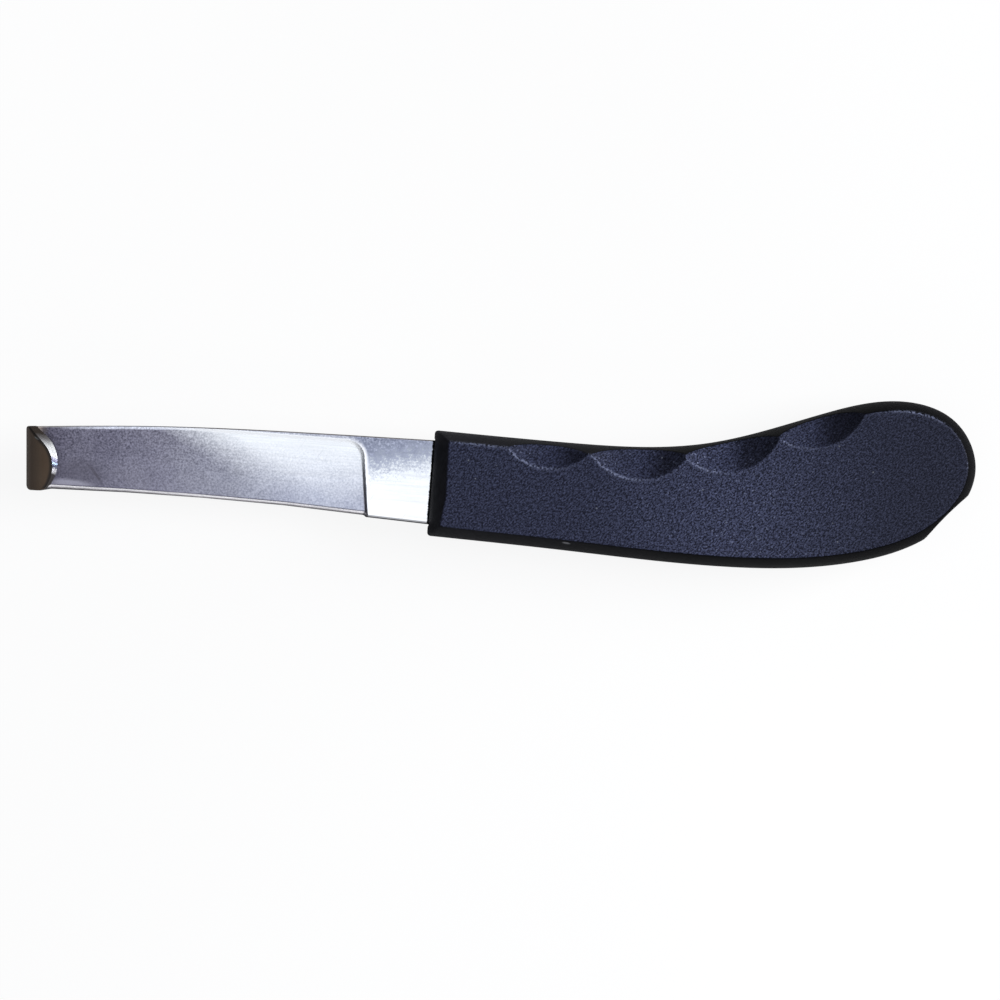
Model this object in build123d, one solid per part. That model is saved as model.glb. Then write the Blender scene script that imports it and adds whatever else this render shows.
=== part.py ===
from build123d import *
import os
from math import asin, cos, sin

# A right-handed hoof knife. A stainless blade with a curled hook at its tip runs back into a flat tang,
# and the tang lies between two moulded handle halves that meet on the knife's middle plane. Three steel
# pins through the tang are hidden in blind sockets, and the halves are welded along a tongue and groove.
#
# Everything is drawn in the knife frame, in millimetres: x runs from the handle's front end towards the
# butt, so the blade has negative x; y = 0 is the tang's centre line and +y the spine side, where the finger
# scallops are; z = 0 is the middle plane and the hook curls up towards +z. The last step moves every
# piece into the row frame, whose origin is the middle of the flat face that the knife rests on.

# Handle
HANDLE_LENGTH = 119.6
HANDLE_THICKNESS = 17.0
HALF = HANDLE_THICKNESS / 2
HANDLE_MIDDLE = 60.0
SIDE_INSET = 2.3
FRONT_INSETS = (3.2, 2.7)
FRONT_CORNER = 0.8
SEAM_BREAK = 0.25
SEAM_DEPTH = 0.3
HANDLE_SPINE = [(0, 11.6), (30, 11.1), (60, 13.3), (86, 22.1), (102, 25.8)]
HANDLE_BUTT = [(114.4, 22.2), (HANDLE_LENGTH, 12.0), (114.9, 0.6)]
HANDLE_BELLY = [(93.6, -10.6), (66, -13.6), (30, -12.7), (0, -11.8)]
NOTCH_ENDS = [(118.6, 6.4), (109.7, -3.8)]
NOTCH_HOLLOW = 0.6

# Finger scallops: balls that bite the upper corner of each half along the spine side
SCALLOP_RADIUS = 19.1
SCALLOP_OUTSIDE = 5.9
SCALLOP_HEIGHT = 22.3
SCALLOP_FIRST = 25.1
SCALLOP_PITCH = 20.0
SCALLOP_RAISES = (1.0, 0.0, 0.0, 0.2)

# Hollows and ribs inside each half, and the weld joint between them
WALL = 3.2
SPINE_WALL = 8.5
FACE_SKIN = 2.8
RIB_THICKNESS = 2.0
RIB_PITCH = 16.0
RIB_COUNT = 7
BOSS_RADIUS = 4.2
TONGUE_INSET = 1.1
TONGUE_WIDTH = 1.0
TONGUE_HEIGHT = 0.8
JOINT_CLEARANCE = 0.08
PEG_RADIUS = 2.0
PEG_HEIGHT = 3.0
PEG_PLACES = [(97, 3), (107, 12)]

# Tang and its pins
TANG_LENGTH = 88.0
TANG_WIDTH = 12.0
SHOULDER = 5.0
MOUTH_WIDTH = 19.3
PIN_PLACES = {"front": 14.0, "middle": 46.0, "rear": 78.0}
PIN_RADIUS = 1.5
PIN_LENGTH = 11.0
PIN_CHAMFER = 0.3
SOCKET_CLEARANCE = 0.02
TANG_HOLE_CLEARANCE = 0.1
TANG_CLEARANCE = 0.1

# Blade outline, seen from the hook side
STOCK = 2.5
TIP_STOCK = 1.8
BLADE_SPINE = [(SHOULDER, 9.4), (-30, 8.83), (-60, 7.8), (-89.4, 5.5)]
RICASSO_FOOT = [(SHOULDER, -9.5), (-13.9, -8.7)]
CUTTING_EDGE = [(-14.3, -8.3), (-50, -7.25), (-83.5, -7.8)]
HOOK_FOOT = [(-85.5, -8.4), (-88.3, -8.45)]
HOOK_SPINE_CORNER = 0.6
HOOK_FOOT_CORNER = 1.2

# Blade bow and hook, drawn side-on in a frame skewed from the tang
HOOK_SKEW = 4.4
BOW_START = -14.0
BOW_RADIUS = 800.0
HOOK_TIP = -88.7
HOOK_RADIUS = 3.9
HOOK_TURN = 180.0
LIP_LENGTH = 5.0
LIP_FOOT = (-89.9, 4.8, 7.4)
LIP_FOOT_RADIUS = 8.9
LIP_TOP = (-91.2, 3.3, 10.4)
LIP_TOP_RADIUS = 8.15

# Hollow grind on the hook side, and the cutting bevel
PLUNGE_FOOT = (-12.8, -12.0)
PLUNGE_HEAD = (-15.5, 8.6)
PLUNGE_CORNER = 4.0
HOLLOW_TOP = 8.4
HOLLOW_STATIONS = (-9.0, -25.0, -50.0, -75.0, -84.0)
HOLLOW_DEPTHS = (1.7, 1.7, 1.6, 1.0, 0.3)
HOLLOW_SAG = 0.25
BEVEL_WIDTH = 0.9
BEVEL_SLOPE = 0.55
GRIND_MARGIN = 2.0

REACH = 40.0


def handle_curve():
    """The handle's outline from the front end along the spine, round the butt and back: clockwise."""
    return Spline(*HANDLE_SPINE, *HANDLE_BUTT, *HANDLE_BELLY)


def beside(curve, point, distance):
    """The place that lies the given distance to the right of a point on the curve."""
    direction = curve.tangent_at(curve.param_at_point(Vector(*point)))
    return (point[0] + direction.Y * distance, point[1] - direction.X * distance)


def handle_plan(inset=0.0, top_front=0.0, foot_front=0.0):
    """The handle's plan, drawn in all round, with its own insets at the two corners of its front end."""
    curve = handle_curve()
    points = [beside(curve, p, inset) for p in HANDLE_SPINE + HANDLE_BUTT + HANDLE_BELLY]
    points[0] = (top_front, points[0][1])
    points[-1] = (foot_front, points[-1][1])
    plan = make_face([Spline(*points), Line(points[-1], points[0])])
    return fillet(plan.vertices(), FRONT_CORNER)


def even_plan(inset):
    """The handle's plan drawn in by the same distance all round."""
    return handle_plan(inset, inset, inset)


def swollen_plan(z):
    """The handle's section at height z: its sides swell from the flat face out to the seam."""
    share = (z / HALF) ** 2
    top_front, foot_front = (inset * share for inset in FRONT_INSETS)
    return Pos(0, 0, z) * handle_plan(SIDE_INSET * share, top_front, foot_front)


def half_body():
    """The upper half as a solid lump, with its edge broken along the seam."""
    sides = loft([swollen_plan(z) for z in (SEAM_DEPTH, HALF * 0.4, HALF * 0.7, HALF)])
    seam = loft([even_plan(SEAM_BREAK), swollen_plan(SEAM_DEPTH)], ruled=True)
    return sides + seam


def scallops():
    """The four balls whose bites leave the finger scallops."""
    curve = handle_curve()
    balls = []
    for i, rise in enumerate(SCALLOP_RAISES):
        along = (SCALLOP_FIRST + i * SCALLOP_PITCH) / curve.length
        centre = beside(curve, tuple(curve.position_at(along))[:2], -SCALLOP_OUTSIDE)
        balls.append(Pos(*centre, SCALLOP_HEIGHT + rise) * Sphere(SCALLOP_RADIUS))
    return balls


def butt_notch():
    """The shallow relief across the butt's lower rear corner."""
    start, end = (Vector(*p) for p in NOTCH_ENDS)
    chord = end - start
    inwards = Vector(chord.Y, -chord.X).normalized()
    middle = (start + end) * 0.5 + inwards * NOTCH_HOLLOW
    outside = start + chord - inwards * REACH
    edges = [ThreePointArc(start, middle, end), Line(end, outside), Line(outside, start)]
    return extrude(make_face(edges), REACH, both=True)


def tang_plan(grow=0.0):
    """The tang seen from the hook side, as a strip with round ends."""
    return Pos(TANG_LENGTH / 2, 0) * SlotOverall(TANG_LENGTH + 2 * grow, TANG_WIDTH + 2 * grow)


def mouth_plan():
    """The wider slot at the handle's front end that takes the blade's shoulders."""
    return Rectangle(2 * (SHOULDER + TANG_CLEARANCE), MOUTH_WIDTH)


def hollows():
    """The pockets that core out the upper half, between cross ribs and bosses for the pins and pegs."""
    core = even_plan(WALL) & Pos(WALL, WALL - SPINE_WALL) * even_plan(WALL)
    for i in range(RIB_COUNT):
        core -= Pos(PIN_PLACES["front"] / 2 + i * RIB_PITCH, 0) * Rectangle(RIB_THICKNESS, 2 * REACH)
    for place in [(x, 0) for x in PIN_PLACES.values()] + PEG_PLACES:
        core -= Pos(*place) * Circle(BOSS_RADIUS)
    return extrude(core, HALF - FACE_SKIN)


def cored_half():
    """What the two halves share, drawn as the upper one."""
    half = half_body() - scallops() - butt_notch() - hollows()
    half -= extrude(tang_plan(TANG_CLEARANCE) + mouth_plan(), STOCK / 2 + TANG_CLEARANCE)
    socket_depth = PIN_LENGTH / 2 + JOINT_CLEARANCE
    for x in PIN_PLACES.values():
        half -= Pos(x, 0, socket_depth / 2) * Cylinder(PIN_RADIUS + SOCKET_CLEARANCE, socket_depth)
    return half


def weld_ring(clearance):
    """The ring round the seam that is the tongue, or with clearance the groove that takes it."""
    outer = TONGUE_INSET - clearance
    inner = TONGUE_INSET + TONGUE_WIDTH + clearance
    ring = extrude(even_plan(outer), TONGUE_HEIGHT + clearance)
    return ring - extrude(even_plan(inner), TONGUE_HEIGHT + clearance)


def peg(x, y, clearance=0.0):
    """A moulded locating peg, or with clearance the socket that takes it."""
    height = PEG_HEIGHT + clearance
    return Pos(x, y, height / 2) * Cylinder(PEG_RADIUS + clearance, height)


def upper_handle_half():
    """The half on the hook side, with the groove and the peg sockets."""
    half = cored_half() - weld_ring(JOINT_CLEARANCE)
    for place in PEG_PLACES:
        half -= peg(*place, JOINT_CLEARANCE)
    return half


def lower_handle_half():
    """The half that the knife rests on, with the tongue and the pegs."""
    tongue = weld_ring(0) - butt_notch() - extrude(mouth_plan(), STOCK)
    half = mirror(cored_half(), Plane.XY) + tongue
    for place in PEG_PLACES:
        half += peg(*place)
    return half


def tang_pin(x):
    """A hidden steel dowel through the tang and into both halves."""
    pin = Cylinder(PIN_RADIUS, PIN_LENGTH)
    return Pos(x, 0, 0) * chamfer(pin.edges().filter_by(GeomType.CIRCLE), PIN_CHAMFER)


def bow_at(x):
    """The strip's middle at x along the bow, and its up direction, both side-on in x and z."""
    lean = asin(max(BOW_START - x, 0) / BOW_RADIUS)
    return Vector(x, BOW_RADIUS * (1 - cos(lean))), Vector(sin(lean), cos(lean))


def hook_section():
    """The blade strip seen side-on as a face in x and z: flat, then bowed, then curled into the hook."""
    inner_radius = HOOK_RADIUS - TIP_STOCK
    middle_radius = HOOK_RADIUS - TIP_STOCK / 2
    bow_end, up = bow_at(HOOK_TIP + HOOK_RADIUS)
    centre = bow_end + up * middle_radius

    def curl(radius, turn):
        return centre - up.rotate(Axis.Z, -turn) * radius

    onwards = Vector(up.Y, -up.X) * LIP_LENGTH
    inside = [curl(inner_radius, t) for t in (0, HOOK_TURN / 2, HOOK_TURN)]
    outside = [curl(HOOK_RADIUS, t) for t in (0, HOOK_TURN / 2, HOOK_TURN)]
    top = [Vector(SHOULDER, STOCK / 2), Vector(BOW_START, STOCK / 2)]
    back = [Vector(SHOULDER, -STOCK / 2), Vector(BOW_START, -STOCK / 2)]
    edges = [
        Line(top[0], top[1]),
        TangentArc(top[1], inside[0], tangent=(-1, 0)),
        ThreePointArc(*inside),
        Line(inside[2], inside[2] + onwards),
        Line(inside[2] + onwards, outside[2] + onwards),
        Line(outside[2] + onwards, outside[2]),
        ThreePointArc(*reversed(outside)),
        TangentArc(back[1], outside[0], tangent=(-1, 0)),
        Line(back[1], back[0]),
        Line(back[0], top[0]),
    ]
    return Plane.XZ * make_face(edges)


def blade_plan():
    """The blade's outline: its spine, the hook's end, the cutting edge ground back from it, the ricasso."""
    corners = [BLADE_SPINE[-1], HOOK_FOOT[1], HOOK_FOOT[0], CUTTING_EDGE[2]]
    foot = [CUTTING_EDGE[0], RICASSO_FOOT[1], RICASSO_FOOT[0], BLADE_SPINE[0]]
    edge = ThreePointArc(*reversed(CUTTING_EDGE))
    outline = [Spline(*BLADE_SPINE), Polyline(*corners), edge, Polyline(*foot)]
    plan = make_face([edge for line in outline for edge in line.edges()])
    for corner, radius in zip(corners, (HOOK_SPINE_CORNER, HOOK_FOOT_CORNER)):
        plan = fillet(plan.vertices().sort_by_distance(Vector(*corner))[0], radius)
    return plan


def grind_section(x, depth):
    """What the wheels take off across the blade at x: a hollow, and the bevel below it along the edge."""
    start, end = CUTTING_EDGE[0][0], CUTTING_EDGE[-1][0]
    along = min(max((start - x) / (start - end), 0), 1)
    edge = (ThreePointArc(*CUTTING_EDGE) @ along).Y
    middle, up = bow_at(x)
    surface = middle + up * (STOCK - (STOCK - TIP_STOCK) * along) / 2
    top = Vector(HOLLOW_TOP, 0)
    bevel = Vector(edge + BEVEL_WIDTH, -depth)
    beyond = bevel - Vector(1, BEVEL_SLOPE) * (BEVEL_WIDTH + GRIND_MARGIN)
    deepest = (top + bevel) / 2 - Vector(0, HOLLOW_SAG * depth)
    above = [beyond, Vector(beyond.X, GRIND_MARGIN), Vector(top.X, GRIND_MARGIN), top]
    section = make_face([ThreePointArc(top, deepest, bevel), Line(bevel, beyond), *Polyline(*above).edges()])
    return Plane((surface.X, 0, surface.Y), x_dir=(0, 1, 0), z_dir=(up.Y, 0, -up.X)) * section


def hollow_grind():
    """What the grinding wheels take off the hook side, from the raked plunge line up to the hook."""
    limits = [PLUNGE_FOOT, PLUNGE_HEAD, (-REACH, PLUNGE_HEAD[1])]
    limits += [(-REACH, REACH / 2), (-3 * REACH, REACH / 2), (-3 * REACH, PLUNGE_FOOT[1])]
    area = make_face(Polyline(*limits, close=True))
    corner = area.vertices().sort_by_distance(Vector(*PLUNGE_HEAD))[0]
    swept = loft([grind_section(x, depth) for x, depth in zip(HOLLOW_STATIONS, HOLLOW_DEPTHS)])
    return swept & extrude(fillet(corner, PLUNGE_CORNER), REACH, both=True)


def lip_trim():
    """What shapes the hook's free end: a round lip, ground to a bevel from its outer side."""
    lip = loft([Pos(*LIP_FOOT) * Circle(LIP_FOOT_RADIUS), Pos(*LIP_TOP) * Circle(LIP_TOP_RADIUS)])
    height = LIP_TOP[2] - LIP_FOOT[2]
    return Pos(LIP_TOP[0] + REACH / 2, 0, LIP_FOOT[2] + height / 2) * Box(REACH, REACH, height) - lip


def blade():
    """The blade with its hook, ricasso and tang, in one piece of steel."""
    skew = Rot(0, 0, HOOK_SKEW)
    strip = skew * extrude(hook_section(), REACH, both=True)
    strip &= extrude(blade_plan(), REACH, both=True)
    strip -= skew * lip_trim()
    strip -= hollow_grind()
    tang = extrude(tang_plan(), STOCK / 2, both=True)
    tang -= Pos(-REACH / 2, 0, 0) * Box(REACH, REACH, REACH)
    for x in PIN_PLACES.values():
        tang -= Pos(x, 0, 0) * Cylinder(PIN_RADIUS + TANG_HOLE_CLEARANCE, REACH)
    return strip + tang


def write(name, shape):
    """Moves a piece from the knife frame into the row frame and writes it."""
    export_step(Pos(-HANDLE_MIDDLE, 0, HALF) * shape, f"parts/{name}.step")


def main():
    os.makedirs("parts", exist_ok=True)
    write("blade", blade())
    write("handle_half_hook_side", upper_handle_half())
    write("handle_half_rest_side", lower_handle_half())
    for name, x in PIN_PLACES.items():
        write(f"tang_pin_{name}", tang_pin(x))


main()
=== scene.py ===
from math import asin, cos, pi, radians, sin

import bmesh
import bpy
import numpy as np
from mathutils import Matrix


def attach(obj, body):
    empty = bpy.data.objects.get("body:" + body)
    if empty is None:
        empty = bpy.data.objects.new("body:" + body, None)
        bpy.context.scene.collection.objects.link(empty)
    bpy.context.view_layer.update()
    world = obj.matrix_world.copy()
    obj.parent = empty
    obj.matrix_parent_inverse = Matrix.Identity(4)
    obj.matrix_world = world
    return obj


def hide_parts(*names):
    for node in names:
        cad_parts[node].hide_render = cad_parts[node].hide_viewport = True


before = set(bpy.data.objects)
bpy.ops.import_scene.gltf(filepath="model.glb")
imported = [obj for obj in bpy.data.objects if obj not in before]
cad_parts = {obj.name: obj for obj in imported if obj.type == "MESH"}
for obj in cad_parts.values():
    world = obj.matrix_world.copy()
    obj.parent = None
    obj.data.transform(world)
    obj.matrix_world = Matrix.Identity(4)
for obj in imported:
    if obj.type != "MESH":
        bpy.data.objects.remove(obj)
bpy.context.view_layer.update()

# A hoof knife: its blade and both handle halves are built here as fine meshes, and its tang pins stay CAD.
# Shapes are in millimetres in the knife frame: x from the handle's front end to the butt, y towards the
# spine side, z up from the plane where the halves meet. in_row_frame() moves them into the row frame.
MM = 0.001
ROW_ORIGIN = np.array([60.0, 0.0, -8.5])

# Handle
HALF = 8.5
HANDLE_OUTLINE = [(0, 11.6), (30, 11.1), (60, 13.3), (86, 22.1), (102, 25.8), (114.4, 22.2), (119.6, 12.0),
                  (114.9, 0.6), (93.6, -10.6), (66, -13.6), (30, -12.7), (0, -11.8)]
SIDE_INSET = 2.3
# How far the front end slopes back to the face, at shares of the way from its edge side to its spine side,
# and how far along the handle that slope dies out
FRONT_PLACES = (0, 0.35, 1)
FRONT_INSETS = (2.65, 3.5, 3.2)
FRONT_FADE = 15.0
FRONT_CORNER = 0.9
SEAM_BREAK = 0.25
NOTCH_ENDS = np.array([(118.6, 6.4), (109.7, -3.8)])
NOTCH_HOLLOW = 0.6
SCALLOP_RADIUS = 19.1
SCALLOP_OUTSIDE = 5.9
SCALLOP_FIRST = 25.1
SCALLOP_PITCH = 20.0
SCALLOP_HEIGHTS = (23.3, 22.3, 22.3, 22.5)
CREASE_RADIUS = 0.4
TEXTURE_BORDER = 0.1
# How wide the rubbed band at the face's border is, and how fast it fades away from the spine side; its colour
# is a painted highlight on the worn edge
WEAR_AND_HIGHLIGHT_WIDTH = 1.5 * CREASE_RADIUS
WEAR_AND_HIGHLIGHT_FALL = 6

# How finely the handle is meshed: stations round it, and rows from its seam to its flat face
CURVE_SAMPLES = 4000
SIDE_STATIONS = 430
CORNER_STATIONS = 6
FRONT_SIDE_STATIONS = 4
MOUTH_STATIONS = 30
MOUTH_GAP = 0.1
SIDE_ROWS = 14
CREASE_ROWS = 30
FACE_ROWS = (0.48, 1.2)
TANGENT_STEP = 0.1
ALMOST = 0.01

# How finely a section of the handle is first drawn, before its rows are placed, and how far on to the face it
# and the notch may reach, in side insets
SIDE_SAMPLES = 70
FACE_SAMPLES = 160
FACE_REACH = 6
SCALLOP_SAMPLES = 60
NOTCH_SAMPLES = 300
NOTCH_REACH = 1.5
CREASE_SAMPLES = 9
NO_BALL = 1000.0

# Pocket for the tang, and its pins
MOUTH_DEPTH = 5.1
MOUTH_HALF_WIDTH = 9.65
POCKET_LENGTH = 88.1
POCKET_HALF_WIDTH = 6.1
POCKET_HEIGHT = 1.35
PIN_PLACES = (14.0, 46.0, 78.0)
SOCKET_RADIUS = 1.52
SOCKET_HEIGHT = 5.58
TANG_HOLE_RADIUS = 1.6
TANG_HALF_WIDTH = 6.0
TANG_LENGTH = 88.0
HOLE_POINTS = 32
TANG_END_POINTS = 25

# Blade
STOCK = 2.5
TIP_STOCK = 1.8
BLADE_SPINE = [(6, 9.4), (-30, 8.83), (-60, 7.8), (-89.9, 5.46)]
BLADE_EDGE = [(6, -9.5), (-13.8, -8.72), (-14.3, -8.32), (-32, -7.53), (-50, -7.25), (-67, -7.36),
              (-83.2, -7.8), (-85.6, -8.38), (-89, -8.45)]
HOOK_SKEW = radians(4.4)
BOW_START = -14.0
BOW_RADIUS = 800.0
HOOK_TIP = -88.7
# The hook's corners round off to here, just past its tip, so that some width is left at the tip itself
HOOK_OUTERMOST = HOOK_TIP - 0.05
HOOK_RADIUS = 3.9
HOOK_SPINE_CORNER = 0.6
HOOK_FOOT_CORNER = 1.2
STRIP_START = 4.3
STRIP_OVERRUN = 6.0
# The cone that the hook's lip is ground to, low and high: x and y in the strip frame, z, and radius there.
# Past these shares of the height between the two, it goes on as a cylinder
LIP_FOOT = (-89.9, 4.8, 7.4, 8.9)
LIP_TOP = (-91.2, 3.3, 10.4, 8.15)
LIP_SHARES = (-0.5, 1.2)
EDGE_ROUND = 0.3
ROUND_LIMIT = 0.42
PLUNGE_FOOT = np.array((-12.8, -12.0))
PLUNGE_HEAD = np.array((-15.5, 8.6))
PLUNGE_CORNER = 4.0
PLUNGE_WALL = 0.7
# Down to how far from the lip the hook's dark brink is full, and how far from it the brink ends
BRINK = (0.35, 0.9)
HOLLOW_RADIUS = 85.0
HOLLOW_CENTRE = -8.5
HOLLOW_DEPTH = 1.7
# How much of the hollow's depth is left, at distances along the blade from where its bow and its hook start
FADE_PAST_BOW_START = ((0, 1.0), (36, 0.94))
FADE_PAST_HOOK_START = ((-10, 0.6), (0, 0.35), (8, 0.3))
BEVEL_WIDTH = 0.75
BEVEL_SLOPE = 0.55

# How finely the blade is meshed: rows across it, close together near both borders, and sections along it
MESH_WIDTH = 17.0
EDGE_BAND, EDGE_STEP = 1.2, 0.12
SPINE_BAND, SPINE_STEP = 2.0, 0.14
ROWS_BETWEEN = 32
PLUNGE_BAND = (-3, 4.5)
HOOK_BAND_START = -3
LIP_OVERRUN = 4
SECTION_STEPS = (0.8, 0.13, 0.9, 0.22)
QUARTER_POINTS = 6
RIM_POINTS = 2 * QUARTER_POINTS
STRIP_SAMPLES = 12000
SPINE_SAMPLES = 400
LIP_SAMPLES = 500

# Marks on the blade's vertices: the width over which the ground area's mark sets in, and the distance that
# stands for being nowhere near a border
GROUND_BORDER = 0.4
FAR_AWAY = 5.0

# Light
# Where the sky's bright opening starts and is full, from 0 at the horizon to 1 overhead, and the strength of
# the sky outside it and in it
SKY_OPENING = (0.78, 0.95)
SKY_STRENGTH = (0.13, 1.35)
# Each softbox has its place in metres, its width and height, and its watts
SOFTBOXES = {"softbox_right": ((0.9, 0.27, 0.5), (0.6, 0.6), 16.0),
             "strip_at_edge_side": ((-0.1, -0.85, 0.53), (1.0, 0.16), 0.9)}
SKY_TINT = (0.93, 0.96, 1.04, 1)
FLOOR_GLOW = 0.9
FLOOR_REACH = 3000.0
FLOOR_GAP = 0.05

# Camera
CAMERA_PLACE = (15.5, -2.7, 1100.0)
CAMERA_LENS = 179.4
CAMERA_SENSOR = 36.0
CAMERA_RANGE = (0.05, 20.0)

# Marks on the surfaces: the middle in row-frame metres, the half sizes, and the turn about z
HANDLED_MIDDLE = (0.009, -0.003, 0.0085)
# A painted highlight on the side band at the edge side
BOTTOM_BAND_HIGHLIGHT = ((-0.0293, -0.011, 0.0158), (0.0011, 0.00025, 0.002), radians(-6))
# A darker cone on the blade by the hook
DARK_CONE = ((-0.1365, -0.0038, 0.0107), (0.0062, 0.0038, 0.01), radians(-8))
PALE_PATCH = ((-0.1395, -0.0066, 0.0107), (0.0065, 0.0015, 0.01))
NICK = ((-0.1338, -0.0038, 0.0107), (0.0032, 0.00042, 0.004), radians(-50))
HOOK_STREAK = ((-0.1465, 0.003, 0.018), (0.0008, 0.00025, 0.003), radians(-27))


def in_row_frame(points):
    """Knife-frame millimetres to row-frame metres."""
    return (np.asarray(points, float) - ROW_ORIGIN) * MM


def natural_spline(points, samples):
    """A smooth curve through the points, as many samples along it."""
    points = np.array(points, float)
    knots = np.concatenate([[0], np.cumsum(np.linalg.norm(np.diff(points, axis=0), axis=1))])
    step = np.diff(knots)
    system = np.eye(len(points))
    right = np.zeros_like(points)
    for i in range(1, len(points) - 1):
        system[i, i - 1:i + 2] = step[i - 1], 2 * (step[i - 1] + step[i]), step[i]
        right[i] = 6 * ((points[i + 1] - points[i]) / step[i] - (points[i] - points[i - 1]) / step[i - 1])
    bend = np.linalg.solve(system, right)
    t = np.linspace(0, knots[-1], samples)
    i = np.clip(np.searchsorted(knots, t) - 1, 0, len(step) - 1)
    h = step[i][:, None]
    b = (t[:, None] - knots[i][:, None]) / h
    a = 1 - b
    curved = (a ** 3 - a) * bend[i] + (b ** 3 - b) * bend[i + 1]
    return a * points[i] + b * points[i + 1] + curved * h ** 2 / 6


def lengths_along(path):
    """How far along the path each of its points is."""
    return np.concatenate([[0], np.cumsum(np.linalg.norm(np.diff(path, axis=0), axis=1))])


def along(path, distances):
    """The places at these distances along the path."""
    lengths = lengths_along(path)
    return np.stack([np.interp(distances, lengths, path[:, c]) for c in range(path.shape[1])], axis=-1)


def smooth_step(value, low, high):
    """0 at low, 1 at high, an S-curve between and level beyond."""
    t = np.clip((value - low) / (high - low), 0, 1)
    return t * t * (3 - 2 * t)


class Shell:
    """A closed mesh made of rings of vertices."""

    def __init__(self):
        self.bm = bmesh.new()

    def ring(self, points):
        return [self.bm.verts.new(p) for p in in_row_frame(points)]

    def skin(self, first, second, closed=False):
        """Quads between two rows of vertices."""
        count = len(first) if closed else len(first) - 1
        for i in range(count):
            j = (i + 1) % len(first)
            self.bm.faces.new((first[i], first[j], second[j], second[i]))

    def fill(self, outer, holes=()):
        """A flat face bounded by the outer ring, with round holes in it."""
        if not holes:
            self.bm.faces.new(outer)
            return
        edges = []
        for loop in (outer, *holes):
            for a, b in zip(loop, loop[1:] + loop[:1]):
                edges.append(self.bm.edges.get((a, b)) or self.bm.edges.new((a, b)))
        bmesh.ops.triangle_fill(self.bm, use_beauty=True, use_dissolve=False, edges=edges)

    def circle(self, x, radius, z):
        turns = np.arange(HOLE_POINTS) * 2 * pi / HOLE_POINTS
        return self.ring(np.stack([x + radius * np.cos(turns), radius * np.sin(turns), 0 * turns + z], 1))

    def piece(self, name, material, crease_angle=40):
        """The finished object, smooth shaded except across creases sharper than the angle in degrees."""
        bmesh.ops.recalc_face_normals(self.bm, faces=self.bm.faces)
        for face in self.bm.faces:
            face.smooth = True
        for edge in self.bm.edges:
            edge.smooth = edge.calc_face_angle(0) < radians(crease_angle)
        mesh = bpy.data.meshes.new(name)
        self.bm.to_mesh(mesh)
        self.bm.free()
        obj = bpy.data.objects.new(name, mesh)
        bpy.context.scene.collection.objects.link(obj)
        mesh.materials.append(material)
        return obj


def handle_stations():
    """Places round the handle's seam, and at each the way inwards to the flat face's border."""
    curve = natural_spline(HANDLE_OUTLINE, CURVE_SAMPLES)
    length = lengths_along(curve)[-1]
    sides = along(curve, np.linspace(FRONT_CORNER, length - FRONT_CORNER, SIDE_STATIONS))
    tangent = np.gradient(sides, axis=0)
    tangent /= np.linalg.norm(tangent, axis=1)[:, None]
    side_ways = SIDE_INSET * np.stack([tangent[:, 1], -tangent[:, 0]], 1)
    top, foot = curve[0], curve[-1]
    beside_mouth = MOUTH_HALF_WIDTH + MOUTH_GAP
    front_y = np.concatenate([np.linspace(foot[1] + FRONT_CORNER, -beside_mouth, FRONT_SIDE_STATIONS),
                              np.linspace(-1, 1, MOUTH_STATIONS) * MOUTH_HALF_WIDTH,
                              np.linspace(beside_mouth, top[1] - FRONT_CORNER, FRONT_SIDE_STATIONS)])
    front = np.stack([0 * front_y, front_y], 1)
    t = np.linspace(0, 1, CORNER_STATIONS + 2)[1:-1, None]

    def corner(a, middle, b):
        return a * (1 - t) ** 2 + 2 * middle * t * (1 - t) + b * t ** 2

    foot_corner = corner(sides[-1], foot, front[0])
    top_corner = corner(front[-1], top, sides[0])
    plan = np.concatenate([sides, foot_corner, front, top_corner])
    end = plan[SIDE_STATIONS:]
    end_ways = np.stack([0 * end[:, 1], -SIDE_INSET * end[:, 1] / top[1]], 1)
    ways = np.concatenate([side_ways, end_ways])
    share = (plan[:, 1] - foot[1]) / (top[1] - foot[1])
    front_inset = np.interp(share, FRONT_PLACES, FRONT_INSETS)
    ways[:, 0] += front_inset * np.clip(1 - plan[:, 0] / FRONT_FADE, 0, 1) ** 2
    in_mouth = (plan[:, 0] < ALMOST) & (abs(plan[:, 1]) < MOUTH_HALF_WIDTH + ALMOST)
    return plan, ways, in_mouth


def scallop_balls():
    """Centres of the four balls whose bites leave the finger scallops."""
    curve = natural_spline(HANDLE_OUTLINE, CURVE_SAMPLES)
    places = SCALLOP_FIRST + SCALLOP_PITCH * np.arange(len(SCALLOP_HEIGHTS))
    before, after = along(curve, places - TANGENT_STEP), along(curve, places + TANGENT_STEP)
    direction = (after - before) / np.linalg.norm(after - before, axis=1)[:, None]
    outwards = np.stack([-direction[:, 1], direction[:, 0]], 1)
    centres = along(curve, places) + outwards * SCALLOP_OUTSIDE
    return np.column_stack([centres, SCALLOP_HEIGHTS])


def ball_floor(plan, balls):
    """The lowest ball surface above each place, or a great height where there is none."""
    height = np.full(len(plan), NO_BALL)
    for x, y, z in balls:
        under = SCALLOP_RADIUS ** 2 - (plan[:, 0] - x) ** 2 - (plan[:, 1] - y) ** 2
        height = np.where(under > 0, np.minimum(height, z - np.sqrt(np.maximum(under, 0))), height)
    return height


def notch_disc():
    """Centre and radius of the large circle that cuts the butt's shallow notch."""
    start, end = NOTCH_ENDS
    chord = end - start
    half = np.linalg.norm(chord) / 2
    inwards = np.array([chord[1], -chord[0]]) / (2 * half)
    radius = (half ** 2 + NOTCH_HOLLOW ** 2) / (2 * NOTCH_HOLLOW)
    return (start + end) / 2 - inwards * (radius - NOTCH_HOLLOW), radius


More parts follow.
